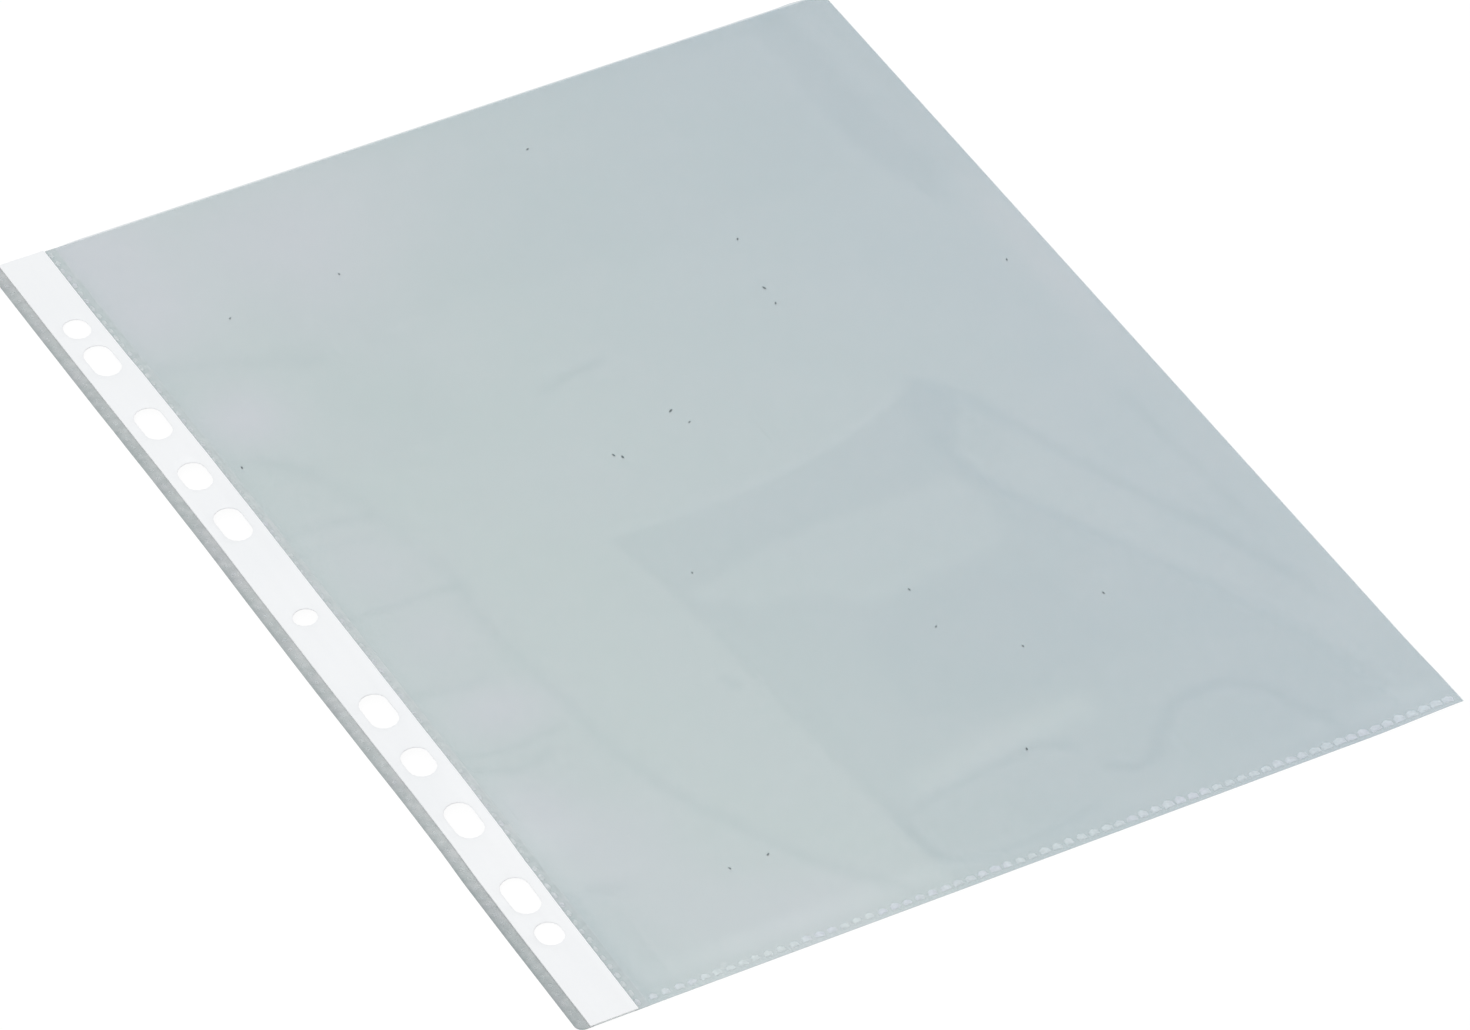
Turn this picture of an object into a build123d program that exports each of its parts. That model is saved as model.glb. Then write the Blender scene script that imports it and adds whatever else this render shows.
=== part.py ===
from build123d import *
import os

# Sheet protector: a clear film pocket with a white, punched binding strip. Sizes are in millimetres.
# X runs across the pocket, from the binding strip at -X to the fold at +X.
# Y runs up the page to the open mouth at +Y. Z is up, and the origin lies under the pocket's middle.

# Pocket
pocket_width = 235.0
pocket_height = 305.0
corner_radius = 2.0  # outer corners on the binding side

# Film
film = 0.10
pocket_gap = 0.20  # air left between the two panels, because the fold springs back

# Binding strip
edge_margin = 3.1  # clear film outside the strip
strip_width = 12.3
strip_thickness = 0.25
layer_gap = 0.08  # air between the layers under the strip, which are sealed along both edges only
seal_lip = 0.8  # width of each seal that runs in under the strip and carries its edge

# Holes punched for every common ring spacing, placed from the middle of the strip
slot_width = 7.0
long_slot_length = 12.5
short_slot_length = 10.5
two_ring_offset = 37.5  # long slots
inner_ring_offset = 57.5  # short slots
three_ring_offset = 80.0  # long slots
letter_ring_offset = 107.5  # long slots
four_ring_offset = 121.5  # small slots
four_ring_width = 6.5
four_ring_length = 7.8
centre_hole_diameter = 6.0

# Welds: knurled heat seals that leave a row of raised beads on the front
bead_pitch = 3.3
bead_height = 0.20
bead_flank_angle = 60.0  # lean of a bead's sides from upright, in degrees
spine_weld_width = 2.4
spine_bead_length = 2.4
spine_bead_width = 1.4
bottom_weld_width = 4.6
bottom_bead_length = 2.6
bottom_bead_width = 2.4
edge_bead_length = 1.6
edge_bead_width = 1.0
edge_bead_height = 0.10

# Clearances
bend_gap = 0.60  # split along the spine weld, with the bend line in its middle
panel_clearance = 0.30  # beside the moving front panel

# Places that follow from these sizes
left = -pocket_width / 2
right = pocket_width / 2
bottom = -pocket_height / 2
top = pocket_height / 2
strip_left = left + edge_margin
strip_right = strip_left + strip_width
strip_centre = (strip_left + strip_right) / 2
spine_right = strip_right + spine_weld_width
pocket_left = spine_right + bend_gap
hem_top = bottom + bottom_weld_width
weld_thickness = 2 * film
front_margin_seat = film + layer_gap
strip_seat = front_margin_seat + film + layer_gap
pocket_thickness = 2 * film + pocket_gap
fold_radius = pocket_thickness / 2
fold_left = right - fold_radius
panel_left = pocket_left + panel_clearance
panel_right = fold_left - panel_clearance
panel_bottom = hem_top + panel_clearance
panel_seat = film + pocket_gap

os.makedirs("parts", exist_ok=True)


def span(x_low, x_high, y_low, y_high):
    """Draws a rectangle between two X and two Y positions in the open sketch."""
    with Locations(((x_low + x_high) / 2, (y_low + y_high) / 2)):
        Rectangle(x_high - x_low, y_high - y_low)


def ring_holes():
    """Cuts every punched hole out of the open sketch, along the middle of the strip."""
    slots = (
        (two_ring_offset, long_slot_length, slot_width),
        (inner_ring_offset, short_slot_length, slot_width),
        (three_ring_offset, long_slot_length, slot_width),
        (letter_ring_offset, long_slot_length, slot_width),
        (four_ring_offset, four_ring_length, four_ring_width),
    )
    for offset_y, length, width in slots:
        with Locations((strip_centre, offset_y), (strip_centre, -offset_y)):
            SlotOverall(length, width, rotation=90, mode=Mode.SUBTRACT)
    with Locations((strip_centre, 0)):
        Circle(centre_hole_diameter / 2, mode=Mode.SUBTRACT)


def bead(length, width, turn):
    """Draws one six-sided bead in the open sketch, long way along X before its turn."""
    flat = length / 4
    Polygon(
        (-length / 2, 0),
        (-flat, -width / 2),
        (flat, -width / 2),
        (length / 2, 0),
        (flat, width / 2),
        (-flat, width / 2),
        rotation=turn,
    )


def bead_count(run):
    """Number of beads that a weld of this length holds."""
    return int(run // bead_pitch)


# White strip, carried by the seals along both its edges and punched with the film under it
with BuildPart() as binding_strip:
    with BuildSketch(Plane.XY.offset(strip_seat)):
        span(strip_left, strip_right, bottom, top)
        ring_holes()
    extrude(amount=strip_thickness)

# Margin of the front film, under the strip
with BuildPart() as front_margin_film:
    with BuildSketch(Plane.XY.offset(front_margin_seat)):
        span(strip_left + seal_lip, strip_right - seal_lip, bottom, top)
        ring_holes()
    extrude(amount=film)

# Margin of the back film, the lowest layer under the strip
with BuildPart() as back_margin_film:
    with BuildSketch():
        span(strip_left + seal_lip, strip_right - seal_lip, bottom, top)
        ring_holes()
    extrude(amount=film)

# Clear outer edge, where both films are sealed together outside the strip
with BuildPart() as edge_weld:
    with BuildSketch() as edge_outline:
        span(left, strip_left, bottom, top)
        fillet(edge_outline.vertices().group_by(Axis.X)[0], corner_radius)
    extrude(amount=weld_thickness)
    with BuildSketch():
        span(strip_left, strip_left + seal_lip, bottom, top)
    extrude(amount=strip_seat)
    with BuildSketch(Plane.XY.offset(weld_thickness)):
        with Locations(((left + strip_left) / 2, 0)):
            with GridLocations(0, bead_pitch, 1, bead_count(pocket_height)):
                bead(edge_bead_length, edge_bead_width, 90)
    extrude(amount=edge_bead_height, taper=bead_flank_angle)

# Seal along the strip's inner edge, which closes the pocket and is the line it bends on
with BuildPart() as spine_weld:
    with BuildSketch():
        span(strip_right, spine_right, bottom, top)
    extrude(amount=weld_thickness)
    with BuildSketch():
        span(strip_right - seal_lip, strip_right, bottom, top)
    extrude(amount=strip_seat)
    with BuildSketch(Plane.XY.offset(weld_thickness)):
        with Locations(((strip_right + spine_right) / 2, 0)):
            with GridLocations(0, bead_pitch, 1, bead_count(pocket_height)):
                bead(spine_bead_length, spine_bead_width, 90)
    extrude(amount=bead_height, taper=bead_flank_angle)

# Back panel of the pocket
with BuildPart() as back_film:
    with BuildSketch():
        span(pocket_left, fold_left, hem_top, top)
    extrude(amount=film)

# Seal that closes the bottom of the pocket
with BuildPart() as bottom_weld:
    with BuildSketch():
        span(pocket_left, right, bottom, hem_top)
    extrude(amount=weld_thickness)
    with BuildSketch(Plane.XY.offset(weld_thickness)):
        with Locations(((pocket_left + right) / 2, (bottom + hem_top) / 2)):
            with GridLocations(bead_pitch, 0, bead_count(right - pocket_left), 1):
                bead(bottom_bead_length, bottom_bead_width, 0)
    extrude(amount=bead_height, taper=bead_flank_angle)

# Half-round fold that turns the back panel into the front one
with BuildPart() as side_fold:
    with BuildSketch(Plane.XZ.offset(-hem_top)):
        with Locations((fold_left, fold_radius)):
            Circle(fold_radius)
            Circle(fold_radius - film, mode=Mode.SUBTRACT)
            Rectangle(
                fold_radius,
                pocket_thickness,
                align=(Align.MAX, Align.CENTER),
                mode=Mode.SUBTRACT,
            )
    extrude(amount=hem_top - top)

# Front panel, which lifts at the mouth to let paper in
with BuildPart() as front_film:
    with BuildSketch(Plane.XY.offset(panel_seat)):
        span(panel_left, panel_right, panel_bottom, top)
    extrude(amount=film)

pieces = {
    "binding_strip": binding_strip,
    "front_margin_film": front_margin_film,
    "back_margin_film": back_margin_film,
    "edge_weld": edge_weld,
    "spine_weld": spine_weld,
    "back_film": back_film,
    "bottom_weld": bottom_weld,
    "side_fold": side_fold,
    "front_film": front_film,
}
for name, piece in pieces.items():
    piece.part.label = name
    export_step(piece.part, f"parts/{name}.step")
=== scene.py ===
"""Looks of the sheet protector: a clear film pocket with a white punched strip, laid on a pale floor."""

import math

import bpy
import numpy as np
from mathutils import Matrix, Vector, geometry


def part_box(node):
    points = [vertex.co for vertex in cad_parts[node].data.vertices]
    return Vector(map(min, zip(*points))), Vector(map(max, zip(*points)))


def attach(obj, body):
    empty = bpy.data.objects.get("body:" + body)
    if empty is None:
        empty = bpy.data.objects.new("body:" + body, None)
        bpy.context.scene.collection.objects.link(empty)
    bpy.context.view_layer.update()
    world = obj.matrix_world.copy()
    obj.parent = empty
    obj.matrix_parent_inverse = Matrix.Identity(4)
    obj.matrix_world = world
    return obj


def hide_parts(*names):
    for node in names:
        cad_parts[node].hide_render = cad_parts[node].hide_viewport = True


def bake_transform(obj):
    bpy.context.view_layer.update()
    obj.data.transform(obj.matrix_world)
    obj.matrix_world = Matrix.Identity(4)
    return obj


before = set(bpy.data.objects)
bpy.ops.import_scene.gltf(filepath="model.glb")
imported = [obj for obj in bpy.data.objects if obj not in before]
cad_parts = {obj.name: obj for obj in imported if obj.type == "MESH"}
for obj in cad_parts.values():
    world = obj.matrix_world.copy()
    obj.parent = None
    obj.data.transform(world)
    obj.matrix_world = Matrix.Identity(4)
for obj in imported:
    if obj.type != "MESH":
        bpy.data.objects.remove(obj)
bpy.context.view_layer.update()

MM = 0.001
BEND_REACH = 0.8 * MM  # how far before the spine weld's end a turning page begins to bend

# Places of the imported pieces, in metres
strip_low, strip_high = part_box("binding_strip")
edge_low, edge_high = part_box("edge_weld")
spine_low, spine_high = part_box("spine_weld")
hem_low, hem_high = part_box("bottom_weld")
back_low, back_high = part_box("back_film")
front_low, front_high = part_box("front_film")
fold_low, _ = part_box("side_fold")

film = back_high.z - back_low.z
weld_thickness = 2 * film
strip_underside = strip_low.z
pocket_left = back_low.x
pocket_right = fold_low.x
hem_top = hem_high.y
mouth = back_high.y
front_middle_z = (front_low.z + front_high.z) / 2
back_middle_z = (back_low.z + back_high.z) / 2
welded_z = back_high.z + film / 2
fold_middle_radius = (front_middle_z - back_middle_z) / 2
seam_x = (pocket_left + pocket_right) / 2
bend_start = spine_high.x - BEND_REACH

# Rise of the strip over the floor in millimetres: place along it, rise at its outer and at its inner edge
STRIP_ARCH = (
    (-152.5, 0.0, 0.0),
    (-120.0, 0.0, 0.2),
    (-100.0, 0.2, 0.75),
    (-84.0, 0.95, 1.6),
    (-68.0, 1.1, 1.95),
    (-45.0, 0.8, 1.85),
    (-20.0, 0.6, 1.85),
    (5.0, 0.75, 1.75),
    (35.0, 1.15, 1.95),
    (60.0, 1.0, 1.8),
    (80.0, 0.7, 1.4),
    (95.0, 0.4, 1.1),
    (110.0, 0.25, 0.5),
    (128.0, 0.1, 0.05),
    (152.5, 0.0, 0.0),
)
ARCH_SAMPLES = 400
WELD_DROP = 0.60  # share of the strip's rise that is gone where the spine weld ends
ARCH_REACH = 33 * MM  # how far into the pocket the rest of that rise fades out

# Curl of the bottom corner at the fold, in millimetres: its rise, its start and its reach, across and up
HEM_CORNER_LIFT = 0.7
HEM_CORNER_START = (92, -124)
HEM_CORNER_REACH = (25, 28)

# Extra tone of the spine weld, as place along it in millimetres and tone
WELD_TONE = (
    (-152, 1.1),
    (-130, 1.4),
    (-115, 0.95),
    (-100, 0.6),
    (-85, 0.0),
    (0, 0.05),
    (30, 0.15),
    (60, 0.35),
    (105, 0.45),
    (125, 0.65),
    (152, 0.6),
)

# Bottom end of the binding side, where the outer edge is darker: start, reach in millimetres and tone
LOW_END_START = -78
LOW_END_REACH = 30
LOW_END_TONE = 0.9

# Grid steps, in metres
FRONT_STEP = 1.2 * MM
BACK_STEP = 2.4 * MM
WELD_STEP = 4.0 * MM
HEM_STEP = 2.0 * MM
PUNCHED_STEP_X = 2.0 * MM
PUNCHED_STEP_Y = 3.0 * MM
FOLD_POINTS = 11
BEND_POINTS = 12

# Front panel's relief and tone. Places and sizes are in millimetres. The tone is painted shade where above
# zero and painted highlight where below zero. Each crease has a height, a half width, such a tone, and its
# path.
CREASES = (
    # Arc beside the spine, faint at the top and firm where it meets the bottom seal
    (0.06, 2.6, 0.20, ((-98, 60), (-92, 56), (-86, 50), (-80, 40), (-75.5, 24), (-72.5, 8), (-71, -4),
                       (-71.5, -20))),
    (0.08, 2.4, 0.36, ((-72.5, 10), (-71, -4), (-71.5, -20), (-70.5, -36), (-68, -54), (-66.5, -70),
                       (-63, -86), (-58, -100), (-51, -114), (-44, -128), (-35, -140), (-27, -149),
                       (-18, -159))),
    # Two long creases that fan out over the right half
    (0.10, 2.2, 0.46, ((56, 14), (62, 9), (69.5, -2), (74.5, -14), (79.5, -28), (84.5, -42), (90.5, -56),
                       (96.5, -70), (103, -88), (107, -102), (111, -118))),
    (0.08, 2.1, 0.48, ((56, 6), (56.5, -19), (60.5, -35), (66.5, -48), (73.5, -62), (79.5, -74),
                       (84.5, -84), (90, -96), (95, -108), (100, -124), (104, -140), (108, -158))),
    # Swelling above the bottom seal with a painted highlight, and the wave that runs on from it with painted
    # shade
    (0.16, 5.4, -0.52, ((-15, -120.5), (-4, -116.5), (6, -113.8), (16, -112.3), (26, -111.5), (36, -110.8),
                        (46, -111.5))),
    (0.06, 1.7, 0.42, ((-22, -126.5), (-7.5, -123), (2.5, -121.3), (15, -119.4), (22, -119), (27, -121.5),
                       (31, -127))),
    (0.08, 2.2, 0.46, ((30, -127), (32.5, -132), (38.5, -136), (44.5, -134), (50, -127.5), (57, -122),
                       (65, -119.8), (72.5, -120.8), (78.5, -126), (81.5, -133), (85, -141), (89, -149),
                       (92, -155))),
    (0.06, 1.7, 0.44, ((-18.6, -116), (-19, -128), (-18, -138), (-14, -143.5), (-4, -145.6), (8, -145.2),
                       (20, -144), (30, -142))),
    # Puckers that the seal draws out of the spine
    (0.10, 4.2, 0.26, ((-106, 100), (-88, 95), (-76, 90), (-66, 86), (-56, 82))),
    (0.12, 3.6, 0.20, ((-103, 60), (-92, 54), (-85, 49), (-80, 44))),
    (0.08, 1.9, 0.30, ((-103, 29), (-88, 28), (-74, 26))),
    (0.06, 1.6, 0.16, ((-103, 20), (-90, 20.5), (-78, 19))),
    (0.08, 1.5, 0.32, ((-103, -5), (-88, -5.5), (-78, -5.5), (-66, -5.5))),
    (0.08, 1.8, 0.28, ((-103, -35), (-90, -38), (-78, -37))),
    (0.08, 1.5, 0.34, ((-103, -59), (-90, -62.5), (-80, -62), (-70, -60))),
    (0.08, 1.5, 0.36, ((-103, -61), (-92, -69), (-84, -69.5), (-76, -65))),
    (0.10, 3.0, 0.30, ((-103, -112), (-92, -115), (-82, -118))),
    # Short marks in the middle of the panel
    (0.03, 1.7, 0.40, ((-21, 47), (-11, 50), (1, 52))),
    (0.02, 1.6, 0.42, ((-32, -62.5), (-30.5, -66), (-29.5, -69.5))),
    # Spring of the fold, strongest near the mouth, with painted shade and one painted highlight
    (0.10, 2.2, 0.12, ((93.5, 180), (94, 132), (94.3, 106), (96, 90), (100, 74), (104, 62))),
    (0.22, 2.4, -0.12, ((106, 164), (108.5, 142), (109.5, 126), (110.5, 108))),
    (0.08, 2.0, 0.28, ((104, -10), (105, -34), (106.5, -56), (108, -84))),
)
CREASE_END = 0.16  # share of a crease's path over which each end fades
CREASE_SAMPLES = 90

# Areas where the front panel has settled on the back one, and areas of painted shade alone where the drop is
# zero:
# a drop, a tone of painted shade (a painted highlight where below zero), a soft edge and the outline
SETTLED_AND_PAINTED_SHADE = (
    (0.10, 0.40, 1.8, ((-18, -152), (-20.5, -125.5), (-22, -103.5), (-24, -77.5), (-25.5, -47.5),
                       (-27.5, -27.5), (-31, -8.5), (-13.5, -8.5), (6.5, -7.5), (22.5, -5.5), (38.5, -1.5),
                       (54.5, 4.5), (62, 9), (68, -1), (63, -10), (58, -19), (60.5, -35), (66.5, -48),
                       (73.5, -62), (79.5, -74), (84.5, -84), (90, -96), (95, -108), (100, -124),
                       (106, -152))),
    (-0.06, -0.32, 3.0, ((-24, -34), (-12, -31), (2.5, -27.5), (22.5, -25.5), (40, -26), (53, -25),
                         (56, -40), (50, -52), (30, -54), (14, -56), (2, -48), (-12, -44))),
    (0.04, 0.18, 5.0, ((8, -62), (40, -58), (56, -66), (58, -96), (20, -103), (0, -96))),
    (0.04, 0.20, 3.0, ((54, 4), (62, 9), (70, -3), (75, -15), (67, -25), (58, -18))),
    (0.0, 0.24, 5.0, ((96, 170), (96, 130), (96, 106), (97, 94), (100, 82), (106, 75), (114, 75), (128, 80),
                      (128, 170))),
    (0.0, 0.26, 3.0, ((94, 160), (94, 130), (94.2, 106), (95, 92), (98, 80), (101, 70), (106, 62), (108, 80),
                      (106, 110), (105, 135), (104.5, 160))),
    (0.0, 0.16, 3.0, ((-30, 158), (124, 158), (124, 147), (60, 148), (20, 148.5), (-30, 150))),
    (0.0, 0.20, 9.0, ((-66, 160), (-44, 160), (-40, 90), (-40, 44), (-64, 44), (-68, 90))),
    (0.0, 0.15, 9.0, ((-46, 164), (92, 164), (92, 88), (40, 82), (-10, 84), (-46, 88))),
    (0.0, 0.26, 7.0, ((92, -62), (106, -64), (108, -96), (99, -100))),
    (0.0, 0.48, 6.0, ((-108, -110), (-91, -113), (-89, -156), (-108, -160))),
)
OUTLINE_SAMPLES = 240

# Clouds of a lavender cast, partly the film's own and partly painted reflection, as centre, reach across and
# up, and strength
LAVENDER = (
    (-42, 136, 44, 22, 0.55),
    (-92, 122, 16, 24, 0.95),
    (-94, 148, 18, 10, 0.7),
    (-88, 72, 12, 12, 1.0),
    (-48, 116, 26, 34, 0.5),
    (-86, 12, 12, 20, 0.5),
    (-84, -22, 12, 12, 0.5),
    (-84, -49, 13, 10, 0.9),
    (-84, -104, 18, 18, 0.6),
    (-76, -134, 22, 16, 0.4),
    (-50, -142, 16, 12, 0.5),
    (-92, -84, 9, 12, 0.7),
    (113, 34, 5, 44, 0.5),
)
# A lavender cast also lightens the film: a painted highlight
LAVENDER_LIGHTENS = 0.15  # tone that a full lavender cast takes away

# Painted shade on the film beside the spine weld: its own shade, its share of the weld's tone, and their
# reach
SPINE_PAINTED_SHADE = 0.15
SPINE_SHADE_SHARE = 0.30
SPINE_SHADE_REACH = 2.6

# Loose lie of the panels: how far from a seal they drop to it and how far from the fold they flatten, the
# front panel's mean rise, the wave on it and its lowest place, and the back panel's ripple and its ease
SEAL_REACH = 7.0
FOLD_REACH = 5.0
SWELL = 0.10
SWELL_WAVE = 0.08
DEEPEST = -0.12
RIPPLE = 0.04
RIPPLE_REACH = 9

# Dust on the front panel, as place and relative size, and the half sizes of one fibre in metres
SPECKS = (
    (4.5, 26.9, 1.2), (6.5, 21.1, 0.8), (-15.5, 18.9, 1.0), (-13.9, 17.3, 1.1), (50.5, 76.5, 0.9),
    (47.1, 56.9, 1.2), (46.7, 50.5, 0.9), (105.1, 38.5, 0.9), (21.5, 131.9, 0.9), (22.9, -56.9, 0.9),
    (19.1, -118.5, 1.0), (-61.5, -121.7, 0.85), (-51.5, -121.7, 0.95), (-96.5, 56.1, 0.9),
    (-42.3, 110.5, 0.8), (-19.5, -27.5, 0.8), (21.9, -71.3, 0.8), (-73.5, 107.9, 0.8), (36.5, -86.9, 0.8),
    (62.9, -79.5, 0.9),
)
FIBRE = (0.64 * MM, 0.28 * MM, 0.06 * MM)

# Punched holes as offset from the strip's middle, length and width, in millimetres
HOLES = (
    (0.0, 6.0, 6.0),
    (37.5, 12.5, 7.0),
    (57.5, 10.5, 7.0),
    (80.0, 12.5, 7.0),
    (107.5, 12.5, 7.0),
    (121.5, 7.8, 6.5),
)

# The punch draws the film's rims back under the strip by this much, and draws each layer's rim down to a lip
RIM_SETBACK = 0.5 * MM
STRIP_LIP = 0.10 * MM
FILM_LIP = 0.02 * MM
LIP_REACH = 2.5  # how far a lip reaches from its hole, in times its depth
LIP_CLEAR = 0.8 * MM  # grid points keep this far off a lip
SAME_PLACE = 1e-6  # nearer than this, in metres, two places count as one
MERGE_WIDTH = 1e-7  # and within this the mesh's points are merged

# Where one piece of film runs on into the next, this much of each is faded out, so that no end shows there
JOINT_WIDTH = 0.004 * MM
JOINT_TONE = -8.0

# Welds: radius of the outer corners, air between the layers of the bottom seal, and rows of beads
EDGE_CORNER = 2.0 * MM
HEM_AIR = 0.015 * MM
BEAD_PITCH = 3.305 * MM
BEAD_SINK = 0.01 * MM
BEAD_SHIFT = 0.15 * MM
SPINE_BEAD_OFFSET = 0.90 * MM
HEM_BEAD_OFFSET = 2.05 * MM
SHARP_ANGLE = 35.0  # rims that turn by more than this, in degrees, are drawn sharp

# Clear film: share that each of a panel's two faces covers, what a tone adds to it and to the blue cast,
# and its teal, blue and lavender casts
FILM_ALPHA = 0.199
TONE_GAIN = 0.055
TONE_BLUER = 0.35
FILM_COLOURS = ((0.207, 0.366, 0.371, 1.0), (0.145, 0.30, 0.368, 1.0), (0.315, 0.388, 0.462, 1.0))

# Sealed film and its beads: lowest and highest share that they cover, and the same three casts
BAND_ALPHA = (0.32, 0.38)
EDGE_ALPHA = (0.30, 0.38)
BEAD_ALPHA = (0.38, 0.60)
SPINE_BEAD_ALPHA = (0.30, 0.56)
EDGE_BEAD_ALPHA = (0.04, 0.16)
BAND_COLOURS = ((0.205, 0.322, 0.34, 1.0), (0.205, 0.322, 0.34, 1.0), (0.232, 0.322, 0.352, 1.0))
EDGE_COLOURS = ((0.085, 0.155, 0.162, 1.0), (0.085, 0.155, 0.162, 1.0), (0.108, 0.152, 0.174, 1.0))
# Bottom beads: the hazy white of pressed film with a painted glint; spine and edge beads: a painted glint
HAZE_AND_GLINT_BEAD_COLOURS = ((0.82, 0.91, 0.92, 1.0), (0.80, 0.89, 0.95, 1.0), (0.82, 0.87, 0.96, 1.0))
GLINT_BEAD_COLOURS = ((0.80, 0.86, 0.87, 1.0), (0.80, 0.86, 0.87, 1.0), (0.83, 0.86, 0.93, 1.0))

# White strip and dust
STRIP_WHITES = ((0.855, 0.873, 0.890, 1.0), (0.885, 0.897, 0.910, 1.0))
STRIP_MOTTLE = (0.82, 0.85, 0.87, 1.0)
DUST_GREYS = ((0.10, 0.13, 0.14, 1.0), (0.18, 0.22, 0.23, 1.0))

# Floor, surroundings, and softboxes as name, place, width and height in metres, and power in watts
FLOOR_HALF = 6.0
FLOOR_LEVEL = -0.2 * MM
FLOOR_GREY = (0.86, 0.86, 0.86, 1.0)
FLOOR_GLOW = 1.03
FLOOR_GLOW_SHARE = 0.94
WHITE = (1.0, 1.0, 1.0, 1.0)
WORLD_LIGHT = 0.66
SOFTBOXES = (
    ("key_softbox", (0.62, 1.05, 1.95), 1.2, 0.8, 11.0),
    ("fill_softbox", (-1.5, -0.5, 1.6), 1.4, 1.4, 12.0),
)

# Camera of the photograph, in millimetres and degrees
CAMERA_LENS = 245.0
CAMERA_SENSOR = 36.0
CAMERA_AZIMUTH = 330.27
CAMERA_ELEVATION = 40.85
CAMERA_ROLL = 1.09
CAMERA_DISTANCE = 2385.4
CAMERA_TARGET = (-0.15, -13.54, 0.0)


# Small helpers for objects and node trees

def add_object(name, data):
    """Puts a mesh, lamp or camera into the scene as an object at the origin."""
    made = bpy.data.objects.new(name, data)
    bpy.context.scene.collection.objects.link(made)
    return made


def place(tree, kind, settings=None, **inputs):
    """Adds one node with its settings, and with the values or links of its inputs."""
    made = tree.nodes.new(kind)
    for name, value in (settings or {}).items():
        setattr(made, name, value)
    for name, value in inputs.items():
        connect(tree, made.inputs[name.replace("_", " ")], value)
    return made


def connect(tree, socket, value):
    """Links an output to a socket, or sets the socket's own value."""
    if isinstance(value, bpy.types.NodeSocket):
        tree.links.new(value, socket)
    else:
        socket.default_value = value


def maths(tree, operation, first, second=0.0):
    """One Math node, and its output."""
    made = place(tree, "ShaderNodeMath", {"operation": operation})
    connect(tree, made.inputs[0], first)
    connect(tree, made.inputs[1], second)
    return made.outputs[0]


def mixed(tree, share, first, second):
    """One colour Mix node, and its output."""
    made = place(tree, "ShaderNodeMix", {"data_type": "RGBA"})
    connect(tree, made.inputs[0], share)
    connect(tree, made.inputs[6], first)
    connect(tree, made.inputs[7], second)
    return made.outputs[2]


def ranged(tree, value, low, high, to_low=0.0, to_high=1.0):
    """One Map Range node that clamps, and its output."""
    made = place(tree, "ShaderNodeMapRange")
    for socket, given in zip(made.inputs, (value, low, high, to_low, to_high)):
        connect(tree, socket, given)
    return made.outputs[0]


def noise(tree, where, scale, detail=2.0):
    """One Noise Texture node, and its value."""
    return place(tree, "ShaderNodeTexNoise", Vector=where, Scale=scale, Detail=detail).outputs[0]


def new_tree(name, kind, inputs, outputs):
    """Node group with these named sockets. Gives the tree, its input node and its output node."""
    tree = bpy.data.node_groups.new(name, kind)
    for in_out, sockets in (("INPUT", inputs), ("OUTPUT", outputs)):
        for label, carried in sockets.items():
            tree.interface.new_socket(label, in_out=in_out, socket_type="NodeSocket" + carried)
    return tree, tree.nodes.new("NodeGroupInput"), tree.nodes.new("NodeGroupOutput")


def new_material(name):
    """Node material with a Principled shader. Gives the material, its tree, shader and coordinates."""
    material = bpy.data.materials.new(name)
    material.use_nodes = True
    tree = material.node_tree
    shader = tree.nodes["Principled BSDF"]
    where = tree.nodes.new("ShaderNodeTexCoord").outputs["Object"]
    return material, tree, shader, where


# Shared effects

def make_colour_drift():
    """Drift of the film's cast, its own and partly painted reflection: teal in the middle, bluer to the fold,
    lavender in clouds.
    """
    inputs = {
        "Where": "Vector",
        "Lavender": "Float",
        "Bluer": "Float",
        "Teal Film": "Color",
        "Blue Film": "Color",
        "Lavender Film": "Color",
    }
    tree, given, out = new_tree("film_colour_drift", "ShaderNodeTree", inputs, {"Color": "Color"})
    where = given.outputs["Where"]
    across = place(tree, "ShaderNodeSeparateXYZ", Vector=where).outputs[0]
    cloud = noise(tree, where, scale=14.0)
    drifting = maths(tree, "ADD", across, maths(tree, "MULTIPLY", cloud, 0.06))
    toward_fold = ranged(tree, drifting, -0.02, 0.13)
    toward_fold = ranged(tree, maths(tree, "ADD", toward_fold, given.outputs["Bluer"]), 0.0, 1.0)
    teal_blue = mixed(tree, toward_fold, given.outputs["Teal Film"], given.outputs["Blue Film"])
    patchy = ranged(tree, noise(tree, where, scale=34.0, detail=3.0), 0.40, 0.66, 0.0, 0.15)
    lavender = maths(tree, "ADD", given.outputs["Lavender"], patchy)
    lavender = ranged(tree, lavender, 0.0, 1.2)
    colour = mixed(tree, lavender, teal_blue, given.outputs["Lavender Film"])
    tree.links.new(colour, out.inputs["Color"])
    return tree


def make_fine_grain():
    """Fine grain of rolled plastic: die lines along the web, and a smaller even mottle."""
    inputs = {
        "Where": "Vector",
        "Line Scale": "Float",
        "Mottle Scale": "Float",
        "Low Roughness": "Float",
        "High Roughness": "Float",
    }
    outputs = {"Roughness": "Float", "Height": "Float", "Mottle": "Float"}
    tree, given, out = new_tree("fine_grain", "ShaderNodeTree", inputs, outputs)
    where = given.outputs["Where"]
    drawn = place(tree, "ShaderNodeMapping", Vector=where, Scale=(1.0, 0.02, 1.0)).outputs[0]
    lines = noise(tree, drawn, scale=given.outputs["Line Scale"])
    mottle = noise(tree, where, scale=given.outputs["Mottle Scale"], detail=3.0)
    height = maths(tree, "ADD", maths(tree, "MULTIPLY", lines, 0.6), mottle)
    rough = ranged(tree, lines, 0.3, 0.7, given.outputs["Low Roughness"], given.outputs["High Roughness"])
    tree.links.new(rough, out.inputs["Roughness"])
    tree.links.new(height, out.inputs["Height"])
    tree.links.new(mottle, out.inputs["Mottle"])
    return tree


colour_drift = make_colour_drift()
fine_grain = make_fine_grain()


# Materials

def attribute(tree, name):
    """Value that a film mesh carries at its points."""
    return place(tree, "ShaderNodeAttribute", {"attribute_name": name}).outputs["Fac"]


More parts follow.
